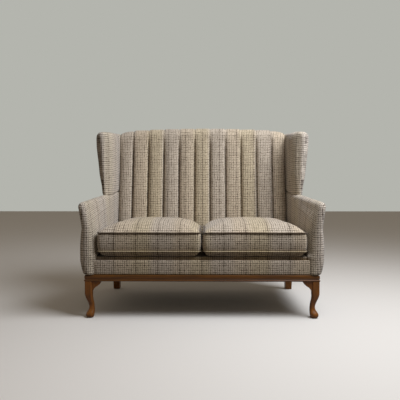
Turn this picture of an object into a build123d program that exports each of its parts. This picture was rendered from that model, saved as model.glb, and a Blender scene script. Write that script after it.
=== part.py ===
from build123d import *
import os
from math import cos, radians, sin, sqrt, tan

# Two-seater wing-back settee in millimetres, +Z up, front towards -Y, left and right as seen from the front.
# While it is built, y counts from the front plane backwards, and the whole is centred at the end.

# Seat and loose cushions
seat_width = 1130            # between the arms at seat level
cushion_depth = 548
cushion_front = 8            # behind the front plane
cushion_gap = 2              # between the two cushions
cushion_side_gap = 7         # cushion to arm
cushion_back_gap = 1         # cushion to inner back
cushion_rest_gap = 0.4       # cushion to platform
cushion_corner = 24          # corner radius in plan
cushion_draw = 5             # how far the sides draw in between the corners
underside_drop = 32          # belly below the lower piping
boxing_height = 97           # between the two pipings
boxing_bulge = 5             # swell of the boxing between the pipings
crown_height = 63            # crown above the upper piping
crown_run = 220              # from the edge to the flat of the crown
belly_run = 150
crown_steps = 5
cover_thickness = 2.5
core_clearance = 0.4
piping_radius = 4.5
piping_stand = 3             # axis of the piping outside the seam
piping_clearance = 0.3

# Zip in the rear boxing of each cushion
zip_length = 440
zip_opening = 25
zip_tape_thickness = 1.5
zip_depth = 8.5              # tape in front of the rearmost plane of the cushion
zip_clearance = 0.5
slider_length = 14
slider_height = 9
slider_thickness = 4
slider_gap = 0.3
zip_end_stop = 2
pull_width = 6
pull_length = 6
pull_thickness = 1.5

# Heights
leg_height = 195
plinth_height = 33
rail_height = 76
platform_thickness = 16
back_height = 1115

# Seat frame and plinth
rail_thickness = 28
rail_front = 28              # front face of the front rail
arm_inner_padding = 13
centre_rail_height = 50
corner_block_leg = 70
corner_block_height = 60
plinth_overhang = 13
plinth_width = 50
dust_cover_thickness = 1.5
dust_cover_gap = 0.3
dowel_radius = 5
dowel_length = 50
dowel_clearance = 0.1

# Legs
knee_inset = 1.5               # leg behind the face of the plinth
knee_width = 38
knee_radius = 7
knee_height = 55
ear_reach = 46
ear_height = 54
ear_lip = 3                  # thickness of the ear at its tip
ear_thickness = 24
rear_leg_top = 50
rear_leg_foot = 41
rear_leg_inset = 4
rear_leg_rake = 45
glide_thickness = 3
glide_radius = 11
bolt_radius = 4
bolt_in_leg = 45
bolt_in_rail = 50
bolt_clearance = 0.2
screw_radius = 2
screw_head_radius = 4
screw_head_height = 3
screw_length = 58
screw_spacing = 330

# Springing of the seat
spring_count = 6
spring_wire_radius = 1.75
spring_half_width = 22
spring_wave = 24
spring_below_rail = 4        # wire centre below the top of the rails
clip_length = 16
clip_depth = 14
clip_height = 11
clip_clearance = 0.2
tie_wire_radius = 1.25
tie_wire_count = 2
wire_clearance = 0.25

# Back
back_lean = 8
back_pad_depth = 86          # stuffing in front of the webbing
roll_radius = 65             # roll over the top, half of the thickness of the back
arch_drop = 22               # top of the back at its ends below its middle
channel_count = 11
channel_pitch = 104.8
channel_depth = 28
roll_channel_depth = 6       # channels grow shallow where they roll over the top
channel_taper = 160          # height of that change
roll_overlap = 10            # shortest fall of the roll behind the top rail's edge
back_inset = 1               # channelled inner back within the seat on each side
webbing_thickness = 2
webbing_width = 50
webbing_count = 5
webbing_overlap = 15
post_width = 40
top_rail_height = 70
lower_rail_height = 60
lower_rail_rise = 110        # above the platform
upright_width = 45
upright_offset = 188
outer_back_thickness = 4

# Arms
arm_front = 17
arm_round = 22               # rounding of the front edges
arm_front_rise = 290         # crest above the platform, at the front and at the wing
arm_wing_rise = 334
arm_post_front = 45
arm_post_depth = 60
arm_post_thickness = 26
arm_post_flare = 30          # outward lean of the post over its height
arm_rail_height = 40
arm_rail_cover = 17          # stuffing over the arm rail
tack_rail_rise = 26          # above the side rail
tack_rail_height = 30
arm_flare_front = 40         # inner face at the crest, outside its foot
arm_flare_rear = -1
arm_top_front = 50           # outer lines, outside the seat frame
arm_top_rear = 14
arm_waist_front = 30
arm_waist_rear = 12
arm_bulge_front = 40
arm_bulge_rear = 24
arm_waist_rise = 151         # waist above the platform
arm_bulge_fall = 27          # fullest place below the platform
arm_bulge_drop = 10
arm_foot_out = 2             # outside the plinth
arm_tail = 343               # stuffing behind the foot of the back, before it is trimmed to the back
outer_arm_rise = 225         # outer panel above the platform
soft_clearance = 0.4

# Wings
wing_depth = 177             # in front of the foot of the inner back
wing_inset = 3               # inner face within the seat
wing_bottom_width = 56
wing_top_width = 103
wing_drop = 76               # below the top of the back
wing_slope = 6.3
wing_round = 30
wing_rear_out = 10           # outside the back post
wing_board_thickness = 18
wing_board_setback = 46
wing_seat = 7                # wing sunk into the crest of the arm

# Front border
border_thickness = 9
border_rise = 3              # above the front rail
border_depth = 16            # over the front rail
border_round = 9

# Levels, lines and places that follow
plinth_bottom = leg_height
plinth_top = plinth_bottom + plinth_height
rail_top = plinth_top + rail_height
platform_top = rail_top + platform_thickness
cushion_bottom = platform_top + cushion_rest_gap
lower_seam = cushion_bottom + underside_drop
upper_seam = lower_seam + boxing_height
seat_half = seat_width / 2
cushion_width = seat_half - cushion_side_gap - cushion_gap / 2
cushion_centre = (cushion_gap + cushion_width) / 2
cushion_rear = cushion_front + cushion_depth
side_rail_inner = seat_half + arm_inner_padding
frame_half = side_rail_inner + rail_thickness
plinth_half = frame_half + plinth_overhang
plinth_front = rail_front - plinth_overhang
back_foot = cushion_rear + cushion_back_gap
back_half = seat_half - back_inset
wing_front = back_foot - wing_depth
wing_inner = seat_half - wing_inset
wing_rise = back_height - wing_drop
arm_rise_front = platform_top + arm_front_rise
arm_rise_wing = platform_top + arm_wing_rise
arm_waist_height = platform_top + arm_waist_rise
arm_bulge_height = platform_top - arm_bulge_fall
arm_rear_end = back_foot + arm_tail
outer_arm_top = platform_top + outer_arm_rise
frame_depth_front = back_pad_depth + webbing_thickness
back_depth = 2 * roll_radius
lean = radians(back_lean)
spring_level = rail_top - spring_below_rail
post_inner = frame_half - post_width
reach = 2000                 # long enough to cut right across the settee


def back_y(depth, z):
    """Place of a leaning plane of the back, depth behind the inner face, at height z."""
    return back_foot + depth / cos(lean) + (z - platform_top) * tan(lean)


rear_face = back_y(back_depth, rail_top)
outer_face = back_y(back_depth + outer_back_thickness, rail_top)
plinth_rear = rear_face + plinth_overhang
back_place = Pos(0, back_foot, platform_top) * Rot(X=-back_lean)
crest = (back_height - platform_top + roll_radius * sin(lean) - roll_radius) / cos(lean) + roll_radius
top_rail_line = crest - arch_drop - roll_radius - roll_overlap
nodes = {}


def block(x0, x1, y0, y1, z0, z1):
    """Box between two opposite corners."""
    middle = Pos((x0 + x1) / 2, (y0 + y1) / 2, (z0 + z1) / 2)
    return middle * Box(x1 - x0, y1 - y0, z1 - z0)


def board(points, x0, x1):
    """Board with an outline of (y, z) points, from x0 to x1."""
    outline = Polyline(*[(x0, y, z) for y, z in points], close=True)
    return extrude(make_face(outline), amount=x1 - x0, dir=(1, 0, 0))


def rod(start, end, radius):
    """Round rod between two points."""
    start = Vector(*start)
    run = Vector(*end) - start
    return extrude(Plane(start, z_dir=run) * Circle(radius), amount=run.length)


def beam(start, end, width, height):
    """Rail whose ends are (x, y, z) lower corners on the side of the seat."""
    faces = []
    for x, y, z in (start, end):
        corners = [(x, y, z), (x + width, y, z), (x + width, y, z + height), (x, y, z + height)]
        faces.append(make_face(Polyline(*corners, close=True)))
    return loft(faces, ruled=True)


def cut(shape, tools):
    """Shape with every tool taken out of it."""
    for tool in tools:
        shape = shape - tool
    return shape


def group(solids):
    """Separate solids that share one node."""
    return Compound([solid for item in solids for solid in item.solids()])


def pair(name, shape):
    """Keep a right-hand piece and its mirror image."""
    nodes["right_" + name] = shape
    nodes["left_" + name] = mirror(shape, about=Plane.YZ)


def both_sides(shape):
    """A piece and its mirror image."""
    return [shape, mirror(shape, about=Plane.YZ)]


def seat_frame():
    """Beech rails, corner blocks, centre rail and dust cover."""
    front_inner = rail_front + rail_thickness
    rear_inner = rear_face - rail_thickness
    inside_floor = plinth_top + dust_cover_thickness + dust_cover_gap
    nodes["front_seat_rail"] = block(
        -side_rail_inner, side_rail_inner, rail_front, front_inner, plinth_top, rail_top)
    nodes["rear_seat_rail"] = block(
        -side_rail_inner, side_rail_inner, rear_inner, rear_face, plinth_top, rail_top)
    pair("seat_rail", block(side_rail_inner, frame_half, rail_front, rear_face, plinth_top, rail_top))
    nodes["centre_seat_rail"] = block(
        -rail_thickness / 2, rail_thickness / 2, front_inner, rear_inner,
        inside_floor, inside_floor + centre_rail_height)
    blocks = []
    for y, turn in ((front_inner, 1), (rear_inner, -1)):
        corners = [
            (side_rail_inner, y, inside_floor),
            (side_rail_inner - corner_block_leg, y, inside_floor),
            (side_rail_inner, y + turn * corner_block_leg, inside_floor),
        ]
        face = make_face(Polyline(*corners, close=True))
        blocks += both_sides(extrude(face, amount=corner_block_height, dir=(0, 0, 1)))
    nodes["corner_blocks"] = group(blocks)
    nodes["dust_cover"] = block(
        dust_cover_gap - side_rail_inner, side_rail_inner - dust_cover_gap,
        front_inner + dust_cover_gap, rear_inner - dust_cover_gap,
        plinth_top, plinth_top + dust_cover_thickness)


def seat_springs():
    """Serpentine springs in clips, their tie wires and the padded platform over them."""
    front = rail_front + rail_thickness
    rear = rear_face - rail_thickness
    first = front + clip_depth / 2
    last = rear - clip_depth / 2
    waves = round((last - first) / spring_wave)
    step = (last - first) / waves
    points = []
    side = -1
    for wave in range(waves + 1):
        y = first + wave * step
        points += [(side * spring_half_width, y, spring_level), (-side * spring_half_width, y, spring_level)]
        side = -side
    path = FilletPolyline(*points, radius=0.45 * step)
    spring = sweep(Plane(path @ 0, z_dir=path % 0) * Circle(spring_wire_radius), path)
    springs = []
    clips = []
    spacing = 2 * side_rail_inner / spring_count
    for place in range(spring_count):
        x = (place + 0.5) * spacing - side_rail_inner
        springs.append(Pos(x, 0, 0) * spring)
        for face, y in ((front, first), (rear - clip_depth, last)):
            clip = block(x - clip_length / 2, x + clip_length / 2, face, face + clip_depth,
                         rail_top - clip_height, rail_top)
            bore = rod((x - clip_length, y, spring_level), (x + clip_length, y, spring_level),
                       spring_wire_radius + clip_clearance)
            clips.append(clip - bore)
    nodes["serpentine_springs"] = group(springs)
    nodes["spring_clips"] = group(clips)

    tie_level = spring_level - spring_wire_radius - wire_clearance - tie_wire_radius
    ties = []
    for place in range(tie_wire_count):
        y = first + (place + 1) * (last - first) / (tie_wire_count + 1)
        ties.append(rod((-side_rail_inner, y, tie_level), (side_rail_inner, y, tie_level), tie_wire_radius))
    nodes["tie_wires"] = group(ties)

    half = side_rail_inner - soft_clearance
    pad_rear = back_y(back_pad_depth, rail_top)
    pad = block(-half, half, rail_front + border_depth + soft_clearance, pad_rear, rail_top, platform_top)
    underlay = block(-half, half, front + clip_depth + soft_clearance,
                     min(pad_rear, rear - clip_depth - soft_clearance),
                     spring_level + spring_wire_radius + wire_clearance, rail_top)
    nodes["seat_platform"] = pad + underlay


def plinth_run(length):
    """Moulded plinth along X with mitred ends, its face towards -Y at y = 0."""
    lip = 3
    bead = 10
    groove = 5
    band_start = bead + 2
    band_end = plinth_height - 2
    x = -length / 2
    edges = [
        Line((x, plinth_width, 0), (x, lip, 0)),
        ThreePointArc((x, lip, 0), (x, 0, bead / 2), (x, lip, bead)),
        Polyline((x, lip, bead), (x, groove, bead), (x, groove, band_start), (x, lip, band_start)),
        ThreePointArc((x, lip, band_start), (x, lip / 2, (band_start + band_end) / 2), (x, lip, band_end)),
        Line((x, lip, band_end), (x, 2 * lip, plinth_height)),
        Line((x, 2 * lip, plinth_height), (x, plinth_width, plinth_height)),
        Line((x, plinth_width, plinth_height), (x, plinth_width, 0)),
    ]
    run = extrude(make_face(edges), amount=length, dir=(1, 0, 0))
    for side in (-1, 1):
        mitre = Plane(origin=(side * length / 2, 0, 0), z_dir=(side, 1, 0))
        run = split(run, bisect_by=mitre, keep=Keep.BOTTOM)
    return run


def leg_axes():
    """Bolt axes of the right-hand legs, front and rear, in plan."""
    front = knee_inset + knee_width / 2
    rear = rear_leg_inset + rear_leg_top / 2
    return [(plinth_half - front, plinth_front + front), (plinth_half - rear, plinth_rear - rear)]


def plinth_and_bolts():
    """Plinth under the seat frame, with its screws and the bolts of the legs."""
    width = 2 * plinth_half
    depth = plinth_rear - plinth_front
    middle = (plinth_front + plinth_rear) / 2
    long_run = plinth_run(width)
    short_run = plinth_run(depth)
    runs = {
        "front_plinth": Pos(0, plinth_front, plinth_bottom) * long_run,
        "rear_plinth": Pos(0, plinth_rear, plinth_bottom) * Rot(Z=180) * long_run,
        "right_plinth": Pos(plinth_half, middle, plinth_bottom) * Rot(Z=90) * short_run,
        "left_plinth": Pos(-plinth_half, middle, plinth_bottom) * Rot(Z=-90) * short_run,
    }
    bolts = []
    holes = []
    for x, y in leg_axes():
        ends = ((x, y, plinth_bottom - bolt_in_leg), (x, y, plinth_top + bolt_in_rail))
        bolts += both_sides(rod(*ends, bolt_radius))
        holes += both_sides(rod(*ends, bolt_radius + bolt_clearance))
    nodes["leg_bolts"] = group(bolts)

    rail_middle = rail_thickness / 2
    places = []
    for x in (-1.5, -0.5, 0.5, 1.5):
        places += [(x * screw_spacing, rail_front + rail_middle), (x * screw_spacing, rear_face - rail_middle)]
    for y in (middle - screw_spacing / 2, middle + screw_spacing / 2):
        places += [(frame_half - rail_middle, y), (rail_middle - frame_half, y)]
    screws = []
    for x, y in places:
        for radius_gap, solids in ((0, screws), (bolt_clearance, holes)):
            shank = rod((x, y, plinth_bottom), (x, y, plinth_bottom + screw_length), screw_radius + radius_gap)
            head = rod((x, y, plinth_bottom), (x, y, plinth_bottom + screw_head_height + radius_gap),
                       screw_head_radius + radius_gap)
            solids.append(shank + head)
    nodes["plinth_screws"] = group(screws)

    for name, run in runs.items():
        nodes[name] = cut(run, holes)
    for name in ("front_seat_rail", "rear_seat_rail", "left_seat_rail", "right_seat_rail"):
        nodes[name] = cut(nodes[name], holes)
    return holes


def legs(holes):
    """Cabriole front legs with their ears, raked rear legs and glides."""
    knee_bottom = plinth_bottom - knee_height
    knee_far = knee_inset + knee_width
    # height, outer line, inner line, corner radius: lines are measured in from the face of the plinth
    stations = [
        (knee_bottom, knee_inset, knee_far, knee_radius),
        (knee_bottom - 6, knee_inset, knee_far, knee_radius),
        (0.82 * knee_bottom, 4, 39, 8),
        (0.69 * knee_bottom, 9.5, 41, 9),
        (0.55 * knee_bottom, 16, 44.5, 10),
        (0.42 * knee_bottom, 19.5, 46.5, 11),
        (40, 15.5, 47.5, 13),
        (22, 4.5, 47.5, 18),
        (10, 4.5, 46, 17),
        (glide_thickness, 9, 44, 14),
    ]
    sections = []
    for z, outer, inner, radius in stations:
        middle = (outer + inner) / 2
        square = RectangleRounded(inner - outer, inner - outer, radius)
        sections.append(Pos(plinth_half - middle, plinth_front + middle, z) * square)
    knee = extrude(sections[0], amount=knee_height, dir=(0, 0, 1))
    pair("front_leg", cut(knee + loft(sections), holes))

    inner_face = plinth_half - knee_far
    tip = inner_face - ear_reach
    low = plinth_bottom - ear_height
    ear_front = plinth_front + knee_inset + (knee_width - ear_thickness) / 2

    def on_ear(reach_share, drop_share):
        return (tip + reach_share * ear_reach, ear_front, plinth_bottom - drop_share * ear_height)

    # the edge is full near the tip and hollow where it runs into the leg
    lip = (tip, ear_front, plinth_bottom - ear_lip)
    edges = [
        Line((inner_face, ear_front, plinth_bottom), (tip, ear_front, plinth_bottom)),
        Line((tip, ear_front, plinth_bottom), lip),
        ThreePointArc(lip, on_ear(0.13, 0.27), on_ear(0.42, 0.5)),
        ThreePointArc(on_ear(0.42, 0.5), on_ear(0.78, 0.73), (inner_face, ear_front, low)),
        Line((inner_face, ear_front, low), (inner_face, ear_front, plinth_bottom)),
    ]
    inward = extrude(make_face(edges), amount=ear_thickness, dir=(0, 1, 0))
    # the second ear is the first one mirrored in the upright plane through the outer corner of the leg
    diagonal = Plane(origin=(plinth_half, plinth_front, 0), x_dir=(0, 0, 1), z_dir=(1, 1, 0))
    pair("front_ears", group([inward, mirror(inward, about=diagonal)]))

    faces = []
    for z, size, rake in ((plinth_bottom, rear_leg_top, 0), (glide_thickness, rear_leg_foot, rear_leg_rake)):
        x = plinth_half - rear_leg_inset - size / 2
        y = plinth_rear - rear_leg_inset - rear_leg_top + size / 2 + rake
        faces.append(Pos(x, y, z) * Rectangle(size, size))
    pair("rear_leg", cut(loft(faces, ruled=True), holes))

    front_foot = (stations[-1][1] + stations[-1][2]) / 2
    rear_foot = faces[-1].center()
    glides = []
    for x, y in ((plinth_half - front_foot, plinth_front + front_foot), (rear_foot.X, rear_foot.Y)):
        glides += both_sides(rod((x, y, 0), (x, y, glide_thickness), glide_radius))
    nodes["foot_glides"] = group(glides)


def channel_lines():
    """Seams of the channelled back from left to right."""
    inner = channel_count - 2
    seams = [(number - inner / 2) * channel_pitch for number in range(inner + 1)]
    return [-back_half] + seams + [back_half]


def channel_section(x0, x1, z, side, depth):
    """Section of one channel, from the axis of the roll to its front (-1) or rear (1) face."""
    seam = roll_radius + side * (roll_radius - depth)
    face = roll_radius + side * roll_radius
    edges = [
        Line((x0, roll_radius, z), (x0, seam, z)),
        ThreePointArc((x0, seam, z), ((x0 + x1) / 2, face, z), (x1, seam, z)),
        Line((x1, seam, z), (x1, roll_radius, z)),
        Line((x1, roll_radius, z), (x0, roll_radius, z)),
    ]
    return make_face(edges)


def back_pad():
    """Channelled inner back: every channel rises, rolls over the top and falls behind the top rail."""
    foot = -back_pad_depth
    pad = block(-back_half, back_half, roll_radius, back_pad_depth, foot, top_rail_line)
    lines = channel_lines()
    for x0, x1 in zip(lines, lines[1:]):
        top = crest - arch_drop * ((x0 + x1) / 2 / back_half) ** 2
        turn = top - roll_radius
        axis = Axis((0, roll_radius, turn), (-1, 0, 0))
        deep = channel_section(x0, x1, turn - channel_taper, -1, channel_depth)
        shallow = channel_section(x0, x1, turn, -1, roll_channel_depth)
        fall = channel_section(x0, x1, top_rail_line, 1, roll_channel_depth)
        pad += extrude(deep, amount=turn - channel_taper - foot, dir=(0, 0, -1))
        pad += loft([deep, shallow], ruled=True)
        pad += revolve(shallow, axis=axis, revolution_arc=180)
        pad += extrude(fall, amount=turn - top_rail_line, dir=(0, 0, 1))
    below = block(-reach, reach, -reach, reach, -reach, platform_top + soft_clearance)
    nodes["inner_back_pad"] = back_place * pad - below


def back_point(depth, height):
    """(y, z) of a point given in the leaning frame of the back."""
    y = back_foot + depth * cos(lean) + height * sin(lean)
    return y, platform_top - depth * sin(lean) + height * cos(lean)


def back_frame():
    """Posts, rails, uprights and webbing of the back, and its outer panel."""
    front = frame_depth_front
    below = block(-reach, reach, -reach, reach, -reach, rail_top)
    post = block(post_inner, frame_half, front, back_depth, -back_depth, top_rail_line)
    pair("back_post", back_place * post - below)
    top_foot = top_rail_line - top_rail_height
    nodes["back_top_rail"] = back_place * block(
        -post_inner, post_inner, front, back_depth, top_foot, top_rail_line)
    lower_top = lower_rail_rise + lower_rail_height
    nodes["back_lower_rail"] = back_place * block(
        -post_inner, post_inner, front, back_depth, lower_rail_rise, lower_top)
    upright = block(upright_offset - upright_width / 2, upright_offset + upright_width / 2,
                    front, back_depth, lower_top, top_foot)
    nodes["back_uprights"] = group(both_sides(back_place * upright))

    half = post_inner + webbing_overlap
    spacing = (top_foot - lower_top) / (webbing_count - 1)
    straps = []
    for place in range(webbing_count):
        middle = lower_top + place * spacing
        strap = block(-half, half, back_pad_depth, front,
                      middle - webbing_width / 2, middle + webbing_width / 2)
        straps.append(back_place * strap)
    nodes["back_webbing"] = group(straps)

    outline = [
        (rear_face, plinth_top + soft_clearance),
        (rear_face, rail_top),
        back_point(back_depth, top_rail_line),
        back_point(back_depth + outer_back_thickness, top_rail_line),
        (outer_face, rail_top),
        (outer_face, plinth_top + soft_clearance),
    ]
    nodes["outer_back"] = board(outline, -frame_half, frame_half)


def arm_crest(y):
    """Height of the crest of the arm at y."""
    rise = (arm_rise_wing - arm_rise_front) / (wing_front - arm_front)
    return arm_rise_front + rise * (y - arm_front)


def arm_section(y, inset):
    """Upright section through the right arm at y, drawn in by an inset."""
    share = min(max((y - arm_post_front) / (wing_front - arm_post_front), 0), 1)

    def drift(front, rear):
        return front + (rear - front) * share

    inner = seat_half + inset
    inner_top = seat_half + drift(arm_flare_front, arm_flare_rear) + inset / 2
    outer_top = frame_half + drift(arm_top_front, arm_top_rear) - inset / 2
    waist = frame_half + drift(arm_waist_front, arm_waist_rear) - inset
    bulge = frame_half + drift(arm_bulge_front, arm_bulge_rear) - inset
    foot = plinth_half + arm_foot_out - inset
    top = arm_crest(y) - inset
    shoulder = top - 0.4 * (outer_top - inner_top)
    bottom = plinth_top + soft_clearance
    points = [
        (inner, y, bottom),
        (inner, y, platform_top),
        (inner + 0.27 * (inner_top - inner), y, (platform_top + shoulder) / 2),
        (inner_top, y, shoulder),
        ((inner_top + outer_top) / 2, y, top),
        (outer_top, y, shoulder),
        (outer_top + 0.57 * (waist - outer_top), y, (shoulder + arm_waist_height) / 2),
        (waist, y, arm_waist_height),
        (bulge, y, (arm_waist_height + arm_bulge_height) / 2 - arm_bulge_drop),
        (bulge - 0.5, y, arm_bulge_height),
        (bulge - 0.25 * (bulge - foot), y, (2 * arm_bulge_height + bottom) / 3),
        (foot, y, bottom),
    ]
    edges = [Line(points[0], points[1])]
    for start in range(1, len(points) - 2, 2):
        edges.append(ThreePointArc(*points[start:start + 3]))
    edges.append(Line(points[-1], points[0]))
    return make_face(edges)


def arms(trim):
    """Frames, stuffed arms and outer arm panels; trim lists what the stuffing goes round."""
    post_rear = arm_post_front + arm_post_depth
    post_top = arm_crest(arm_post_front) - arm_rail_cover
    post_foot = side_rail_inner + (rail_thickness - arm_post_thickness) / 2

    def post_x(z):
        return post_foot + arm_post_flare * (z - rail_top) / (post_top - rail_top)

    corners = [
        (post_foot, arm_post_front, rail_top),
        (post_foot + arm_post_thickness, arm_post_front, rail_top),
        (post_x(post_top) + arm_post_thickness, arm_post_front, post_top),
        (post_x(post_top), arm_post_front, post_top),
    ]
    post = extrude(make_face(Polyline(*corners, close=True)), amount=arm_post_depth, dir=(0, 1, 0))
    pair("arm_post", post)

    behind = back_place * block(-reach, reach, frame_depth_front, reach, -reach, reach)
    strap_end = post_inner + webbing_overlap + soft_clearance
    straps = back_place * block(0, strap_end, back_pad_depth, reach, -reach, reach)
    rail_end = back_y(frame_depth_front, arm_rise_wing) + arm_post_depth
    rail_drop = arm_rail_cover + arm_rail_height
    rail_front_foot = arm_crest(post_rear) - rail_drop
    rail = beam((post_x(rail_front_foot + arm_rail_height / 2), post_rear, rail_front_foot),
                (post_inner, rail_end, arm_crest(rail_end) - rail_drop),
                arm_post_thickness, arm_rail_height) - behind - straps
    pair("arm_rail", rail)
    tack_foot = rail_top + tack_rail_rise
    tack = beam((post_x(tack_foot + tack_rail_height / 2), post_rear, tack_foot),
                (post_foot, rail_end, tack_foot), arm_post_thickness, tack_rail_height) - behind - straps
    pair("tack_rail", tack)

    front_sections = []
    for turn in (0, 30, 60, 90):
        inset = arm_round * (1 - sin(radians(turn)))
        depth = arm_round * (1 - cos(radians(turn)))
        front_sections.append(arm_section(arm_front + depth, inset))
    rear_sections = [front_sections[-1]]
    rear_sections += [arm_section(y, 0) for y in (arm_post_front, wing_front, arm_rear_end)]
    form = loft(front_sections, ruled=True) + loft(rear_sections, ruled=True)
    inside = block(0, frame_half, rail_front, reach, 0, platform_top + soft_clearance)
    form = cut(form, [inside, post, rail, tack, nodes["right_seat_rail"]] + trim)
    side = block(frame_half, reach, post_rear, reach, 0, outer_arm_top)
    pair("arm_pad", form - side)
    pair("outer_arm", form & side)


def wing_section(level, inset, width):
    """Section through the right wing on a plane that rises to the rear; level is its height at the front edge."""
    inner = wing_inner + inset
    outer = wing_inner + width - inset
    front = wing_front + inset
    nose = (outer - inner) / 2
    slope = tan(radians(wing_slope))
    rear_inset = inset / 2
    at_back = back_half + soft_clearance + rear_inset

    def point(x, y):
        return x, y, level + slope * (y - wing_front)

    start = point(inner, front + nose)
    tip = point(inner + nose, front)
    end = point(outer, front + nose)
    diagonal = nose * (1 - sqrt(0.5))
    corner = point(at_back, back_y(0, level) - 2 * soft_clearance - inset)
    far_inner = point(at_back, arm_rear_end)
    far_outer = point(frame_half + wing_rear_out - rear_inset, arm_rear_end)
    return make_face([
        Line(far_inner, corner),
        Line(corner, start),
        ThreePointArc(start, point(inner + diagonal, front + diagonal), tip),
        ThreePointArc(tip, point(outer - diagonal, front + diagonal), end),
        Line(end, far_outer),
        Line(far_outer, far_inner),
    ])


def wings(rear_region, back_core):
    """Boards and stuffed wings, standing on the arms."""
    board_front = wing_front + wing_board_setback
    board_top = wing_rise - wing_board_setback

    def rail_line(y):
        return arm_crest(y) - arm_rail_cover

    foot_y = back_y(frame_depth_front, rail_line(back_y(frame_depth_front, arm_rise_wing)))
    outline = [
        (board_front, rail_line(board_front)),
        (reach, rail_line(reach)),
        (reach, board_top + (foot_y - board_front) * tan(radians(wing_slope))),
        (foot_y, board_top + (foot_y - board_front) * tan(radians(wing_slope))),
        (board_front, board_top),
    ]
    behind = back_place * block(-reach, reach, frame_depth_front, 2 * reach, -reach, 2 * reach)
    wing_board = board(outline, frame_half - wing_board_thickness, frame_half) - behind
    pair("wing_board", wing_board)

    low = arm_crest(wing_front) - wing_round - wing_seat
    sections = [wing_section(low, 0, wing_bottom_width)]
    for turn in (0, 30, 60, 90):
        level = wing_rise - wing_round * (1 - sin(radians(turn)))
        inset = wing_round * (1 - cos(radians(turn)))
        sections.append(wing_section(level, inset, wing_top_width))
    under = [
        (0, arm_crest(0) - wing_seat), (arm_rear_end, arm_crest(arm_rear_end) - wing_seat),
        (arm_rear_end, 0), (0, 0),
    ]
    pad = cut(loft(sections, ruled=True), [board(under, 0, reach), wing_board, back_core, rear_region])
    pair("wing_pad", pad)


def front_border():
    """Padded border over the front rail, between the arms."""
    half = seat_half - soft_clearance
    face = rail_front - border_thickness
    top = rail_top + border_rise
    rear = rail_front + border_depth
    low = plinth_top + soft_clearance
    tuck = 2
    diagonal = border_round * (1 - sqrt(0.5))
    edges = [
        Line((-half, rail_front, low), (-half, face + tuck, low)),
        ThreePointArc((-half, face + tuck, low), (-half, face, (low + top) / 2), (-half, face + 1, top - border_round)),
        ThreePointArc((-half, face + 1, top - border_round), (-half, face + 1 + diagonal, top - diagonal),
                      (-half, face + 1 + border_round, top)),
        Polyline((-half, face + 1 + border_round, top), (-half, rear, top), (-half, rear, rail_top),
                 (-half, rail_front, rail_top), (-half, rail_front, low)),
    ]
    nodes["front_border"] = extrude(make_face(edges), amount=2 * half, dir=(1, 0, 0))


def cushion_outline(inset, z):
    """Closed outline of a cushion about its centre, with sides that draw in between round corners."""
    half_width = cushion_width / 2 - inset
    half_depth = cushion_depth / 2 - inset
    shrink = half_width / (cushion_width / 2)
    draw = cushion_draw * shrink
    radius = cushion_corner * (1 + shrink) / 2
    run_x = half_width - radius
    run_y = half_depth - radius
    # a drawn-in side is an arc that touches both corner arcs from outside
    far_x = (run_x ** 2 - draw ** 2) / (2 * draw)
    far_y = (run_y ** 2 - draw ** 2) / (2 * draw)
    slant = sqrt(0.5)
    ends = []
    for side_x, side_y in ((-1, -1), (1, -1), (1, 1), (-1, 1)):
        centre = Vector(side_x * run_x, side_y * run_y, z)
        along = centre + Vector(-side_x * run_x, side_y * far_x, 0).normalized() * radius
        across = centre + Vector(side_x * far_y, -side_y * run_y, 0).normalized() * radius
        corner = centre + Vector(side_x * slant, side_y * slant, 0) * radius
        ends.append((along, corner, across))
    left_front, right_front, right_rear, left_rear = ends
    return [
        ThreePointArc(left_front[0], (0, draw - half_depth, z), right_front[0]),
        ThreePointArc(*right_front),
        ThreePointArc(right_front[2], (half_width - draw, 0, z), right_rear[2]),
        ThreePointArc(*right_rear[::-1]),
        ThreePointArc(right_rear[0], (0, half_depth - draw, z), left_rear[0]),
        ThreePointArc(*left_rear),
        ThreePointArc(left_rear[2], (draw - half_width, 0, z), left_front[2]),
        ThreePointArc(*left_front[::-1]),
    ]


def dome(inset, run, height, base):
    """Crown or belly on the seam at base, rising by height while its outline draws in by run."""
    sections = []
    for step in range(crown_steps + 1):
        share = step / crown_steps
        rise = height * (1 - (1 - share) ** 2)
        sections.append(make_face(cushion_outline(inset + run * share, base + rise)))
    return loft(sections)


def cushion_form(inset):
    """Whole cushion, drawn in all round by an inset."""
    seam = piping_radius + piping_stand + inset
    middle = (lower_seam + upper_seam) / 2
    boxing = loft([
        make_face(cushion_outline(seam, lower_seam)),
        make_face(cushion_outline(seam - boxing_bulge, middle)),
        make_face(cushion_outline(seam, upper_seam)),
    ])
    crown = dome(seam, crown_run, crown_height - inset, upper_seam)
    belly = dome(seam, belly_run, inset - underside_drop, lower_seam)
    return boxing + crown + belly


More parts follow.
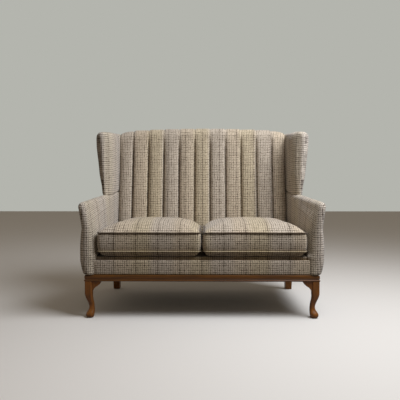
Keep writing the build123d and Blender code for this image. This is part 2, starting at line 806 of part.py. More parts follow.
def cushions():
    """Loose seat cushions: cover, foam core, two pipings, zip tape and slider."""
    place = Pos(cushion_centre, cushion_front + cushion_depth / 2, 0)
    pipings = []
    grooves = []
    for seam in (lower_seam, upper_seam):
        path = Wire(cushion_outline(piping_radius, seam))
        start = Plane(path @ 0, z_dir=path % 0)
        pipings.append(sweep(start * Circle(piping_radius), path))
        grooves.append(sweep(start * Circle(piping_radius + piping_clearance), path))

    rear = cushion_depth / 2
    middle = (lower_seam + upper_seam) / 2
    tape_face = rear - zip_depth
    tape_back = tape_face - zip_tape_thickness
    half_length = zip_length / 2 + zip_clearance
    half_opening = zip_opening / 2
    pocket = block(-half_length, half_length, tape_back - zip_clearance, rear + zip_clearance,
                   middle - half_opening, middle + half_opening)
    tape = block(-zip_length / 2, zip_length / 2, tape_back, tape_face,
                 middle - half_opening + zip_clearance, middle + half_opening - zip_clearance)
    end = zip_length / 2 - zip_end_stop
    inner = tape_face + slider_gap
    body = block(end - slider_length, end, inner, inner + slider_thickness,
                 middle - slider_height / 2, middle + slider_height / 2)
    pull_middle = end - slider_length / 2
    pull = block(pull_middle - pull_width / 2, pull_middle + pull_width / 2,
                 inner + slider_thickness - pull_thickness, inner + slider_thickness,
                 middle - slider_height / 2 - pull_length, middle)

    cover = cut(cushion_form(0), [cushion_form(cover_thickness), pocket] + grooves)
    core = cushion_form(cover_thickness + core_clearance) - pocket
    pieces = {
        "cushion_cover": cover, "cushion_core": core, "bottom_piping": pipings[0],
        "top_piping": pipings[1], "zip_tape": tape, "zip_slider": body + pull,
    }
    for name, piece in pieces.items():
        pair(name, place * piece)


def dowels():
    """Dowels that join the posts to the rails, and their holes."""
    half = dowel_length / 2
    post_foot = frame_half - rail_thickness / 2
    back_axis = (back_y(frame_depth_front, rail_top) + rear_face) / 2
    rods = []
    for y in (arm_post_front + arm_post_depth / 4, arm_post_front + 3 * arm_post_depth / 4, back_axis):
        rods.append(((post_foot, y, rail_top - half), (post_foot, y, rail_top + half)))
    middle = (frame_depth_front + back_depth) / 2
    for height in (top_rail_line - top_rail_height / 2, lower_rail_rise + lower_rail_height / 2):
        y, z = back_point(middle, height)
        rods.append(((post_inner - half, y, z), (post_inner + half, y, z)))
    solids = []
    holes = []
    for start, end in rods:
        solids += both_sides(rod(start, end, dowel_radius))
        holes += both_sides(rod(start, end, dowel_radius + dowel_clearance))
    nodes["frame_dowels"] = group(solids)
    names = ["back_top_rail", "back_lower_rail"]
    for piece in ("seat_rail", "arm_post", "back_post"):
        names += ["left_" + piece, "right_" + piece]
    for name in names:
        nodes[name] = cut(nodes[name], holes)


def build():
    """Make every piece, centre the settee and write one file for each piece."""
    seat_frame()
    seat_springs()
    legs(plinth_and_bolts())
    back_frame()
    back_pad()
    behind = [
        (outer_face, 0), (outer_face, rail_top), (back_y(back_depth + outer_back_thickness, reach), reach),
        (2 * reach, reach), (2 * reach, 0),
    ]
    rear_region = board(behind, 0, reach)
    back_core = back_place * block(0, frame_half, back_pad_depth, reach, -reach, top_rail_line)
    pad_room = back_place * block(0, back_half + soft_clearance, -soft_clearance, reach, -reach, reach)
    wings(rear_region, back_core)
    arms([nodes["right_wing_board"], nodes["right_wing_pad"], back_core, pad_room, rear_region])
    front_border()
    cushions()
    dowels()
    boxes = [shape.bounding_box() for shape in nodes.values()]
    front = min(box.min.Y for box in boxes)
    rear = max(box.max.Y for box in boxes)
    centred = Pos(0, -(front + rear) / 2, 0)
    os.makedirs("parts", exist_ok=True)
    for name, shape in nodes.items():
        export_step(centred * shape, f"parts/{name}.step")
    print(f"{len(nodes)} nodes, front plane to centre {(front + rear) / 2:.2f}, depth {rear - front:.2f}")


build()
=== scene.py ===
"""Looks of a two-seater wing-back settee in tweed check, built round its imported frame."""

import logging
import math
from dataclasses import dataclass
from enum import Enum
from typing import Callable, Optional, Sequence

import bpy
import numpy as np
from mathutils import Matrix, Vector


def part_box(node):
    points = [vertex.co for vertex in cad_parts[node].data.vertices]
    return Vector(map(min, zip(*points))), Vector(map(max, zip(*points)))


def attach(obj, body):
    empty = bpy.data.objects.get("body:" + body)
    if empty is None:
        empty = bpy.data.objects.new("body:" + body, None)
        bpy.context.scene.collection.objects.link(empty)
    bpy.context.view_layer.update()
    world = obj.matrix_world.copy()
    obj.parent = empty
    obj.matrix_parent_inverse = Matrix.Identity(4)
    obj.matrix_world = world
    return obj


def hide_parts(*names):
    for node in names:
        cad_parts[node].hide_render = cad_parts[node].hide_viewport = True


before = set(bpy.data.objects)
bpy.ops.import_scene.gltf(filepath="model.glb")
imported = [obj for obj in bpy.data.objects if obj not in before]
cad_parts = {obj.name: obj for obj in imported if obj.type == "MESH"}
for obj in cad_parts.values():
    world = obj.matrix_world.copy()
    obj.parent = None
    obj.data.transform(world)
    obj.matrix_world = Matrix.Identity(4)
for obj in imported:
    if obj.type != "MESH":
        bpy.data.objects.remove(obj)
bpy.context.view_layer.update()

logging.basicConfig(level=logging.INFO, format="%(name)s: %(message)s")
log = logging.getLogger("settee")

MM = 0.001
Rgba = tuple[float, float, float, float]
Places = np.ndarray
Link = bpy.types.NodeSocket


def linear(hex_colour: str) -> Rgba:
    """Turn an sRGB hex colour into linear light.

    Args:
        hex_colour: six hex digits.
    Returns:
        Linear red, green, blue and an alpha of 1.
    """
    shares = [int(hex_colour[place:place + 2], 16) / 255 for place in (0, 2, 4)]
    light = [share / 12.92 if share <= 0.04045 else ((share + 0.055) / 1.055) ** 2.4 for share in shares]
    return light[0], light[1], light[2], 1.0


def add_node(tree: bpy.types.NodeTree, kind: str, settings: Optional[dict] = None,
             inputs: Optional[dict] = None) -> bpy.types.Node:
    """Add one shader node.

    Args:
        tree: node tree that takes it.
        kind: node type without its ShaderNode prefix.
        settings: properties of the node.
        inputs: a value, or another node's output, for each input by name or number.
    Returns:
        The new node.
    """
    node = tree.nodes.new("ShaderNode" + kind)
    for name, value in (settings or {}).items():
        setattr(node, name, value)
    for name, value in (inputs or {}).items():
        if isinstance(value, bpy.types.NodeSocket):
            tree.links.new(value, node.inputs[name])
        else:
            node.inputs[name].default_value = value
    return node


def new_material(name: str) -> tuple[bpy.types.Material, bpy.types.NodeTree, bpy.types.Node]:
    """Make an empty material with a principled shader.

    Args:
        name: name of the finish.
    Returns:
        The material, its node tree and its shader.
    """
    material = bpy.data.materials.new(name)
    material.use_nodes = True
    tree = material.node_tree
    tree.nodes.clear()
    shader = add_node(tree, "BsdfPrincipled")
    add_node(tree, "OutputMaterial", inputs={"Surface": shader.outputs[0]})
    return material, tree, shader


class GrainAxis(Enum):
    """Direction that the grain of a piece of wood runs in, as scales that draw its pattern out that way."""

    ALONG_X = (0.06, 1.0, 1.0)
    ALONG_Y = (1.0, 0.06, 1.0)
    ALONG_Z = (1.0, 1.0, 0.06)


@dataclass(frozen=True)
class TweedCheck:
    """Woven wool tweed: a small two-colour check under wide plaid bands, with the bloom of raised wool."""

    name: str = "wool_tweed_check"
    repeat_mm: float = 11.6
    band_mm: float = 314.4
    overcheck_mm: float = 116.0
    yarn_mm: float = 3.2
    line_share: float = 0.68
    dot_share: float = 0.1
    second_dot_share: float = 0.7
    overcheck_share: float = 0.16
    light_share: float = 0.55
    weakest_thread: float = 0.45
    thread_patch_mm: float = 9.0
    thread_length_mm: float = 45.0
    slack_mm: float = 6.0
    slack_length_mm: float = 60.0
    fleck_mm: float = 7.0
    fleck_share: float = 0.2
    light_yarn: str = "ddd0b9"
    dark_yarn: str = "3a2919"
    ochre_band: str = "c9b78e"
    lilac_band: str = "c2b5a8"
    rose_band: str = "cdb99e"

    def wave(self, tree: bpy.types.NodeTree, along: Link, length_mm: float, shift: float = 0.0) -> Link:
        """A smooth wave between 0 and 1 along one direction of the cloth.

        Args:
            tree: node tree.
            along: place along the cloth, in metres.
            length_mm: length of one wave.
            shift: phase, in turns.
        Returns:
            The wave.
        """
        turn = add_node(tree, "Math", {"operation": "MULTIPLY_ADD"},
                        {0: along, 1: 2 * math.pi / (length_mm * MM), 2: 2 * math.pi * shift})
        cosine = add_node(tree, "Math", {"operation": "COSINE"}, {0: turn.outputs[0]})
        half = add_node(tree, "Math", {"operation": "MULTIPLY_ADD"}, {0: cosine.outputs[0], 1: 0.5, 2: 0.5})
        return half.outputs[0]

    def threads(self, tree: bpy.types.NodeTree, along: Link, length_mm: float, edge: tuple[float, float],
                shift: float = 0.0) -> Link:
        """Threads or bands with soft edges, one in each wave along one direction of the cloth.

        Args:
            tree: node tree.
            along: place along the cloth, in metres.
            length_mm: distance from one thread to the next.
            edge: heights of the wave at which a thread starts and is full.
            shift: phase, in turns.
        Returns:
            The threads, between 0 and 1.
        """
        wave = self.wave(tree, along, length_mm, shift)
        sharper = add_node(tree, "MapRange", {"interpolation_type": "SMOOTHSTEP"},
                           {"Value": wave, "From Min": edge[0], "From Max": edge[1]})
        return sharper.outputs[0]

    def worn(self, tree: bpy.types.NodeTree, cloth: Link, across_mm: float, along_mm: float) -> Link:
        """Strength of threads, which wanders from one thread to the next and slowly along each.

        Args:
            tree: node tree.
            cloth: place on the cloth.
            across_mm: size of the patches across the cloth.
            along_mm: size of the patches along the cloth.
        Returns:
            The strength.
        """
        patches = add_node(tree, "Mapping", inputs={
            "Vector": cloth, "Scale": (1 / (across_mm * MM), 1 / (along_mm * MM), 1)})
        noise = add_node(tree, "TexNoise", {"noise_dimensions": "2D"},
                         {"Vector": patches.outputs[0], "Scale": 1.0, "Detail": 2.0})
        strength = add_node(tree, "MapRange", inputs={
            "Value": noise.outputs[0], "From Min": 0.3, "From Max": 0.7, "To Min": self.weakest_thread})
        return strength.outputs[0]

    def build(self) -> bpy.types.Material:
        """Make the cloth; it reads the piece's own cloth map, in metres.

        Returns:
            The finished material.
        """
        material, tree, shader = new_material(self.name)
        cloth = add_node(tree, "UVMap", {"uv_map": "cloth"}).outputs[0]
        drift = add_node(tree, "TexNoise", {"noise_dimensions": "2D"},
                         {"Vector": cloth, "Scale": 1 / (self.slack_length_mm * MM), "Detail": 2.0})
        offset = add_node(tree, "VectorMath", {"operation": "SUBTRACT"},
                          {0: drift.outputs[1], 1: (0.5, 0.5, 0.5)})
        slack = add_node(tree, "VectorMath", {"operation": "MULTIPLY_ADD"},
                         {0: offset.outputs[0], 1: (self.slack_mm * MM, self.slack_mm * MM, 0), 2: cloth})
        split = add_node(tree, "SeparateXYZ", inputs={0: slack.outputs[0]})
        across, along = split.outputs[0], split.outputs[1]

        # wide plaid bands of ochre, lilac and rose yarn, one after the other across the cloth
        soft_edge = (0.45, 0.9)
        ochre = self.threads(tree, across, self.band_mm, soft_edge)
        lilac = self.threads(tree, across, self.band_mm, soft_edge, -1 / 3)
        layers = ((ochre, self.ochre_band), (lilac, self.lilac_band), (self.light_share, self.light_yarn))
        ground = linear(self.rose_band)
        for share, yarn in layers:
            ground = add_node(tree, "Mix", {"data_type": "RGBA"},
                              {0: share, 6: ground, 7: linear(yarn)}).outputs[2]

        # the small check: dark warp and weft threads, darkest where they cross, every second one the stronger
        thread_edge = (0.35, 0.75)
        warp = add_node(tree, "Math", {"operation": "MULTIPLY"}, {
            0: self.threads(tree, across, self.repeat_mm, thread_edge),
            1: self.worn(tree, cloth, self.thread_patch_mm, self.thread_length_mm)}).outputs[0]
        weft = add_node(tree, "Math", {"operation": "MULTIPLY"}, {
            0: self.threads(tree, along, self.repeat_mm, thread_edge),
            1: self.worn(tree, cloth, self.thread_length_mm, self.thread_patch_mm)}).outputs[0]
        crossing = add_node(tree, "Math", {"operation": "MULTIPLY"}, {0: warp, 1: weft}).outputs[0]
        either = add_node(tree, "Math", {"operation": "MAXIMUM"}, {0: warp, 1: weft}).outputs[0]
        second = add_node(tree, "Math", {"operation": "MULTIPLY"}, {
            0: self.wave(tree, across, 2 * self.repeat_mm),
            1: self.wave(tree, along, 2 * self.repeat_mm)}).outputs[0]
        strength = add_node(tree, "Math", {"operation": "MULTIPLY_ADD"}, {
            0: second, 1: self.second_dot_share, 2: self.dot_share}).outputs[0]
        thread = add_node(tree, "Math", {"operation": "MULTIPLY"}, {0: crossing, 1: strength}).outputs[0]
        shade = add_node(tree, "Math", {"operation": "MULTIPLY_ADD"}, {
            0: either, 1: self.line_share, 2: thread}).outputs[0]

        # darker overcheck lines both ways
        lines = add_node(tree, "Math", {"operation": "MAXIMUM"}, {
            0: self.threads(tree, across, self.overcheck_mm, (0.9, 1.0)),
            1: self.threads(tree, along, self.overcheck_mm, (0.95, 1.1), 0.3)}).outputs[0]
        shade = add_node(tree, "Math", {"operation": "MULTIPLY_ADD", "use_clamp": True},
                         {0: lines, 1: self.overcheck_share, 2: shade}).outputs[0]

        # flecks of lighter and darker wool
        fleck = add_node(tree, "TexNoise", {"noise_dimensions": "2D"}, {
            "Vector": cloth, "Scale": 1 / (self.fleck_mm * MM), "Detail": 3.0, "Roughness": 0.7})
        flecks = add_node(tree, "MapRange", inputs={
            "Value": fleck.outputs[0], "From Min": 0.3, "From Max": 0.7,
            "To Min": -self.fleck_share, "To Max": self.fleck_share}).outputs[0]
        shade = add_node(tree, "Math", {"operation": "ADD", "use_clamp": True},
                         {0: shade, 1: flecks}).outputs[0]
        colour = add_node(tree, "Mix", {"data_type": "RGBA"},
                          {0: shade, 6: ground, 7: linear(self.dark_yarn)}).outputs[2]

        # yarn relief, drawn at a coarse yarn so that it shows
        ribs = add_node(tree, "Math", {"operation": "MULTIPLY"}, {
            0: self.wave(tree, across, self.yarn_mm), 1: self.wave(tree, along, self.yarn_mm)}).outputs[0]
        relief = add_node(tree, "Math", {"operation": "MULTIPLY_ADD"},
                          {0: fleck.outputs[0], 1: 0.8, 2: ribs}).outputs[0]
        bump = add_node(tree, "Bump", inputs={"Strength": 0.35, "Distance": 1.2 * MM, "Height": relief})
        tree.links.new(colour, shader.inputs["Base Color"])
        tree.links.new(bump.outputs[0], shader.inputs["Normal"])
        shader.inputs["Roughness"].default_value = 0.92
        shader.inputs["Specular IOR Level"].default_value = 0.2
        shader.inputs["Sheen Weight"].default_value = 0.25
        shader.inputs["Sheen Roughness"].default_value = 0.5
        return material


@dataclass(frozen=True)
class StainedOak:
    """Oak stained brown under satin lacquer: long dark pores and bands along the grain, soft gloss."""

    axis: GrainAxis
    pale: str = "6e420f"
    brown: str = "4a2a07"
    dark: str = "241304"
    ring_mm: float = 9.0
    pore_mm: float = 1.6
    wear_mm: float = 80.0

    def build(self) -> bpy.types.Material:
        """Make the wood for one direction of grain.

        Returns:
            The finished material.
        """
        material, tree, shader = new_material("stained_oak_" + self.axis.name.lower())
        place = add_node(tree, "TexCoord").outputs["Object"]
        stretched = add_node(tree, "Mapping", inputs={"Vector": place, "Scale": self.axis.value}).outputs[0]
        rings = add_node(tree, "TexNoise", inputs={
            "Vector": stretched, "Scale": 1 / (self.ring_mm * MM), "Detail": 4.0, "Distortion": 0.6})
        pores = add_node(tree, "TexNoise", inputs={
            "Vector": stretched, "Scale": 1 / (self.pore_mm * MM), "Detail": 2.0, "Roughness": 0.6})
        ramp = add_node(tree, "ValToRGB", inputs={0: rings.outputs[0]})
        ramp.color_ramp.elements[0].position = 0.32
        ramp.color_ramp.elements[0].color = linear(self.brown)
        ramp.color_ramp.elements[1].position = 0.7
        ramp.color_ramp.elements[1].color = linear(self.pale)
        pore_share = add_node(tree, "MapRange", inputs={
            "Value": pores.outputs[0], "From Min": 0.56, "From Max": 0.72, "To Max": 0.6}).outputs[0]
        wear = add_node(tree, "TexNoise", inputs={"Vector": place, "Scale": 1 / (self.wear_mm * MM)})
        colour = add_node(tree, "Mix", {"data_type": "RGBA"},
                          {0: pore_share, 6: ramp.outputs[0], 7: linear(self.dark)}).outputs[2]
        rough = add_node(tree, "MapRange", inputs={"Value": wear.outputs[0], "To Min": 0.3, "To Max": 0.5})
        bump = add_node(tree, "Bump", {"invert": True},
                        {"Strength": 0.25, "Distance": 0.4 * MM, "Height": pore_share})
        tree.links.new(colour, shader.inputs["Base Color"])
        tree.links.new(rough.outputs[0], shader.inputs["Roughness"])
        tree.links.new(bump.outputs[0], shader.inputs["Normal"])
        shader.inputs["Specular IOR Level"].default_value = 0.25
        shader.inputs["Coat Weight"].default_value = 0.12
        shader.inputs["Coat Roughness"].default_value = 0.3
        return material


@dataclass(frozen=True)
class MottledFinish:
    """A plain stock material with small changes of tone, such as planed beech, zinc plate or webbing."""

    name: str
    tone: str
    second_tone: str
    grain_mm: tuple[float, float, float]
    roughness: float
    metallic: float = 0.0
    relief_mm: float = 0.2

    def build(self) -> bpy.types.Material:
        """Make the material from a stretched noise of the real grain size.

        Returns:
            The finished material.
        """
        material, tree, shader = new_material(self.name)
        place = add_node(tree, "TexCoord").outputs["Object"]
        scale = tuple(1 / (size * MM) for size in self.grain_mm)
        stretched = add_node(tree, "Mapping", inputs={"Vector": place, "Scale": scale}).outputs[0]
        noise = add_node(tree, "TexNoise", inputs={"Vector": stretched, "Scale": 1.0, "Detail": 3.0})
        grain = noise.outputs[0]
        share = add_node(tree, "MapRange", inputs={"Value": grain, "From Min": 0.3, "From Max": 0.7})
        colour = add_node(tree, "Mix", {"data_type": "RGBA"},
                          {0: share.outputs[0], 6: linear(self.tone), 7: linear(self.second_tone)})
        bump = add_node(tree, "Bump", inputs={
            "Strength": 0.3, "Distance": self.relief_mm * MM, "Height": grain})
        tree.links.new(colour.outputs[2], shader.inputs["Base Color"])
        tree.links.new(bump.outputs[0], shader.inputs["Normal"])
        shader.inputs["Roughness"].default_value = self.roughness
        shader.inputs["Metallic"].default_value = self.metallic
        return material


class Side(Enum):
    """Side of the settee as seen from the front."""

    LEFT = -1
    RIGHT = 1

    def node(self, piece: str) -> str:
        """CAD name of a piece on this side."""
        return f"{self.name.lower()}_{piece}"


def select_only(piece: bpy.types.Object) -> None:
    """Make one piece the selected and active one.

    Args:
        piece: the piece.
    """
    bpy.ops.object.select_all(action="DESELECT")
    piece.select_set(True)
    bpy.context.view_layer.objects.active = piece


def rows_of(items: bpy.types.bpy_prop_collection, name: str) -> Places:
    """Read a property of three numbers from every item of a mesh.

    Args:
        items: vertices, normals or faces.
        name: name of the property.
    Returns:
        Rows of x, y, z.
    """
    rows = np.empty(len(items) * 3)
    items.foreach_get(name, rows)
    return rows.reshape(-1, 3)


def places_of(piece: bpy.types.Object) -> Places:
    """Places of a piece's vertices as rows of x, y, z."""
    return rows_of(piece.data.vertices, "co")


def normals_of(piece: bpy.types.Object) -> Places:
    """Normals of a piece's vertices as rows of x, y, z."""
    return rows_of(piece.data.vertex_normals, "vector")


def move_to(piece: bpy.types.Object, places: Places) -> None:
    """Put every vertex of a piece in a new place."""
    piece.data.vertices.foreach_set("co", places.ravel())
    piece.data.update()


def apply_modifier(piece: bpy.types.Object, kind: str, settings: dict) -> None:
    """Add a modifier to a piece and apply it at once.

    Args:
        piece: the piece.
        kind: type of the modifier.
        settings: its properties.
    """
    modifier = piece.modifiers.new(kind.lower(), kind)
    for name, value in settings.items():
        setattr(modifier, name, value)
    select_only(piece)
    bpy.ops.object.modifier_apply(modifier=modifier.name)


def joined_copy(name: str, nodes: Sequence[str]) -> bpy.types.Object:
    """Copy CAD nodes into one new mesh with its corners merged.

    Args:
        name: name of the new piece.
        nodes: CAD nodes that give the form.
    Returns:
        The new piece.
    """
    bpy.ops.object.select_all(action="DESELECT")
    copies = []
    for node in nodes:
        copy = bpy.data.objects.new(name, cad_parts[node].data.copy())
        bpy.context.scene.collection.objects.link(copy)
        copy.data.materials.clear()
        copy.select_set(True)
        copies.append(copy)
    piece = copies[0]
    bpy.context.view_layer.objects.active = piece
    if len(copies) > 1:
        bpy.ops.object.join()
    bpy.ops.object.mode_set(mode="EDIT")
    bpy.ops.mesh.select_all(action="SELECT")
    bpy.ops.mesh.remove_doubles(threshold=0.01 * MM)
    bpy.ops.object.mode_set(mode="OBJECT")
    piece.name = name
    return piece


def mirrored(piece: bpy.types.Object, name: str) -> bpy.types.Object:
    """Mirror a right-hand piece to the left, with a mesh of its own.

    Args:
        piece: the right-hand piece.
        name: name of the left-hand piece.
    Returns:
        The left-hand piece.
    """
    select_only(piece)
    bpy.ops.object.duplicate()
    copy = bpy.context.view_layer.objects.active
    copy.name = name
    bpy.ops.transform.mirror(constraint_axis=(True, False, False))
    bpy.ops.object.transform_apply(location=False, rotation=False, scale=True)
    bpy.ops.object.mode_set(mode="EDIT")
    bpy.ops.mesh.select_all(action="SELECT")
    bpy.ops.mesh.normals_make_consistent(inside=False)
    bpy.ops.object.mode_set(mode="OBJECT")
    return copy


def box_chart(places: Places, facing: Places) -> Places:
    """Lay cloth on each side of a piece straight from the front, the side or above.

    Args:
        places: corners of the faces.
        facing: normals of the faces.
    Returns:
        Places on the cloth, in metres.
    """
    x, y, z = places.T
    to_side, to_front, up = np.abs(facing).T
    on_side = (to_side > to_front) & (to_side > up)
    on_level = (up >= to_side) & (up > to_front)
    across = np.where(on_side, np.sign(facing[:, 0]) * y, x)
    along = np.where(on_level, y, z)
    return np.column_stack((across, along))


def map_cloth(piece: bpy.types.Object, chart: Callable[[Places, Places], Places]) -> None:
    """Write a piece's cloth map.

    Args:
        piece: the piece.
        chart: gives places on the cloth for corners and their faces' normals.
    """
    mesh = piece.data
    corners = np.empty(len(mesh.loops), dtype=np.int32)
    mesh.loops.foreach_get("vertex_index", corners)
    counts = np.empty(len(mesh.polygons), dtype=np.int32)
    mesh.polygons.foreach_get("loop_total", counts)
    facing = np.repeat(rows_of(mesh.polygons, "normal"), counts, axis=0)
    cloth = mesh.uv_layers.new(name="cloth")
    cloth.data.foreach_set("uv", chart(places_of(piece)[corners], facing).ravel())


def puff(piece: bpy.types.Object, sewn: np.ndarray, pressure: float, cap_mm: float, frames: int = 20) -> None:
    """Blow a cover up from inside as cloth, and keep the outward part of its movement up to a cap.

    Args:
        piece: the closed cover.
        sewn: true for each vertex that stays where it is.
        pressure: air pressure of the cloth simulation.
        cap_mm: greatest movement.
        frames: length of the simulation.
    """
    start = places_of(piece)
    outward = normals_of(piece)
    group = piece.vertex_groups.new(name="sewn")
    group.add(np.flatnonzero(sewn).tolist(), 1.0, "REPLACE")
    modifier = piece.modifiers.new("puff", "CLOTH")
    cloth = modifier.settings
    cloth.use_pressure = True
    cloth.uniform_pressure_force = pressure
    cloth.effector_weights.gravity = 0
    cloth.vertex_group_mass = group.name
    modifier.point_cache.frame_end = frames
    for step in range(1, frames + 1):
        bpy.context.scene.frame_set(step)
    select_only(piece)
    bpy.ops.object.modifier_apply(modifier=modifier.name)
    bpy.context.scene.frame_set(1)
    piece.vertex_groups.clear()
    swell = np.clip(((places_of(piece) - start) * outward).sum(axis=1), 0, cap_mm * MM)
    move_to(piece, start + outward * swell[:, None])


def ripple(places: Places, length_mm: float, seed: int) -> np.ndarray:
    """Slow unevenness between -1 and 1, as in stuffed cloth.

    Args:
        places: where it is wanted.
        length_mm: length of its main waves.
        seed: makes one pattern unlike another.
    Returns:
        One value for each place.
    """
    chance = np.random.default_rng(seed)
    total = np.zeros(len(places))
    waves = 6
    for _ in range(waves):
        direction = chance.normal(size=3)
        direction /= np.linalg.norm(direction)
        turn = 2 * math.pi / (length_mm * MM * chance.uniform(0.7, 1.5))
        total += np.sin(places @ direction * turn + chance.uniform(0, 2 * math.pi))
    return total / waves


@dataclass
class Cover:
    """A stuffed piece: one closed skin from CAD forms, puffed as cloth, smoothed and dressed."""

    name: str
    stands_for: tuple[str, ...]
    inside: tuple[str, ...] = ()
    slot: str = "check_tweed"
    voxel_mm: float = 7.0
    smoothing: int = 4
    finer: int = 1
    pressure: float = 4.0
    cap_mm: float = 8.0
    fill: float = 0.85
    uneven_mm: float = 1.2
    uneven_length_mm: float = 160.0

    def shape(self, places: Places, normals: Places) -> Places:
        """Give the skin its stuffed form; a plain cover keeps the form of its CAD nodes."""
        return places

    def sewn(self, places: Places, normals: Places) -> np.ndarray:
        """Tell which points of the skin are tacked or sewn down, where true."""
        return np.ones(len(places), dtype=bool)

    def chart(self, places: Places, facing: Places) -> Places:
        """Lay the cloth on the piece."""
        return box_chart(places, facing)

    def build(self) -> bpy.types.Object:
        """Make the skin of the piece.

        Returns:
            The finished mesh, not dressed yet.
        """
        piece = joined_copy(self.name, self.stands_for + self.inside)
        apply_modifier(piece, "REMESH", {"mode": "VOXEL", "voxel_size": self.voxel_mm * MM})
        apply_modifier(piece, "SMOOTH", {"factor": 0.5, "iterations": self.smoothing})
        move_to(piece, self.shape(places_of(piece), normals_of(piece)))
        sewn = self.sewn(places_of(piece), normals_of(piece))
        if not sewn.all():
            puff(piece, sewn, self.pressure, self.cap_mm)
        if self.finer:
            apply_modifier(piece, "SUBSURF", {"levels": self.finer})
        log.info("%s: skin of %d faces", self.name, len(piece.data.polygons))
        return piece

    def dress(self, piece: bpy.types.Object, cloth: bpy.types.Material, nodes: Sequence[str], body: str,
              seed: int) -> None:
        """Let the stuffing wander a little, lay the cloth and tie the piece to its body.

        Args:
            piece: the skin.
            cloth: its material.
            nodes: CAD nodes that the piece stands for.
            body: CAD body that it moves with.
            seed: sets its unevenness.
        """
        places = places_of(piece)
        swell = ripple(places, self.uneven_length_mm, seed) * self.uneven_mm * MM
        move_to(piece, places + normals_of(piece) * swell[:, None])
        map_cloth(piece, self.chart)
        select_only(piece)
        bpy.ops.object.shade_smooth()
        piece.data.materials.clear()
        piece.data.materials.append(cloth)
        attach(piece, body)
        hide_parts(*nodes)


@dataclass
class SideCover(Cover):
    """A cover at one side of the settee, whose cloth wraps from its front round to its inner face."""

    crest_slope: float = 0.12
    top_turn: float = -1.0
    crown_mm: float = 8.0
    edge_fall_mm: float = 16.0
    crown_run_mm: float = 80.0
    crown_fade: float = 0.5
    row_mm: float = 12.0
    turned: float = 0.6

    def chart(self, places: Places, facing: Places) -> Places:
        """Wrap the cloth round the front edge, with its rows along the crest of the arm.

        Args:
            places: corners of the faces.
            facing: normals of the faces.
        Returns:
            Places on the cloth, in metres.
        """
        side = math.copysign(1, places[:, 0].mean())
        outward = side * places[:, 0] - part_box("right_cushion_cover")[1][0]
        back = places[:, 1] - places[:, 1].min()
        rise = places[:, 2] - self.crest_slope * back
        to_front = facing[:, 1] < -self.turned
        to_outside = side * facing[:, 0] > self.turned
        over_top = np.where(facing[:, 2] > self.top_turn, outward, 0)
        across = np.where(to_outside & ~to_front, outward + back, outward - back)
        along = np.where(to_front | to_outside, places[:, 2], rise + over_top)
        return np.column_stack((across, along))

    def crown_front(self, places: Places) -> Places:
        """Crown the front of the cover from edge to edge, so that it turns away at both sides.

        Args:
            places: vertices of the skin.
        Returns:
            New places.
        """
        x, y, z = places.T
        row = ((z - z.min()) / (self.row_mm * MM)).astype(int)
        heights = z.min() + (np.arange(row.max() + 1) + 0.5) * self.row_mm * MM
        front, inner, outer = np.full((3, len(heights)), np.inf)
        np.minimum.at(front, row, y)
        used = np.isfinite(front)
        near = np.clip(1 - (y - np.interp(z, heights[used], front[used])) / (self.crown_run_mm * MM), 0, 1)
        at_front = near > 0.5
        np.minimum.at(inner, row[at_front], x[at_front])
        np.minimum.at(outer, row[at_front], -x[at_front])
        used = np.isfinite(inner)
        middle = np.interp(z, heights[used], (inner - outer)[used] / 2)
        half = np.interp(z, heights[used], -(inner + outer)[used] / 2)
        share = np.clip((x - middle) / half, -1, 1)
        below_top = np.clip((z[at_front].max() - z) / (self.crown_fade * self.crown_run_mm * MM), 0, 1)
        forward = (self.crown_mm - self.edge_fall_mm * share ** 2) * MM * near * below_top
        return np.column_stack((x, y - forward, z))


@dataclass
class Arm(SideCover):
    """Low stuffed arm with its outer panel, tacked down along the plinth."""

    tacked_mm: float = 14.0
    fill: float = 0.9
    cap_mm: float = 5.0
    smoothing: int = 3
    foot_fullness_mm: float = 8.0
    tuck_fullness_mm: float = 1.0
    belly_fullness_mm: float = 3.0
    fullness_heights: tuple[float, ...] = (0.0, 0.12, 0.35, 0.6, 0.85)
    full_at_share: float = 0.5
    facing_mm: float = 17.0
    facing_depth_mm: float = 60.0

    def shape(self, places: Places, normals: Places) -> Places:
        """Stuff the arm out below its crest, bring its foot over the end of the border, and crown its front.

        Args:
            places: vertices of the skin.
            normals: their normals; not used.
        Returns:
            New places.
        """
        low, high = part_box("right_arm_pad")
        heights = low[2] + np.array(self.fullness_heights) * (high[2] - low[2])
        belly = self.belly_fullness_mm
        profile = [self.foot_fullness_mm, self.tuck_fullness_mm, belly, belly, 0]
        fullness = np.interp(places[:, 2], heights, profile) * MM
        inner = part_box("right_seat_rail")[0][0]
        full_at = self.full_at_share * (high[0] - inner)
        outward = fullness * np.clip((places[:, 0] - inner) / full_at, 0, 1)
        below_seat = np.clip((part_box("seat_platform")[1][2] - places[:, 2]) / (self.facing_mm * MM) + 1, 0, 1)
        at_front = np.clip(1 - (places[:, 1] - low[1]) / (self.facing_depth_mm * MM), 0, 1)
        at_inside = np.clip(1 - (places[:, 0] - low[0]) / (self.facing_depth_mm * MM), 0, 1)
        outward -= self.facing_mm * MM * below_seat * at_front * at_inside
        return self.crown_front(places + np.outer(outward, (1, 0, 0)))

    def sewn(self, places: Places, normals: Places) -> np.ndarray:
        """Leave only the inner face above the seat and the front above the plinth free to swell.

        Args:
            places: vertices of the skin.
            normals: their normals.
        Returns:
            True where the cover is tacked.
        """
        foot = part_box("right_arm_pad")[0][2] + self.tacked_mm * MM
        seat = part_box("seat_platform")[1][2]
        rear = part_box("right_wing_pad")[0][1]
        inside = (normals[:, 0] < -self.turned) & (places[:, 2] > seat) & (places[:, 1] < rear)
        front = (normals[:, 1] < -0.7) & (places[:, 2] > foot)
        return ~(inside | front)


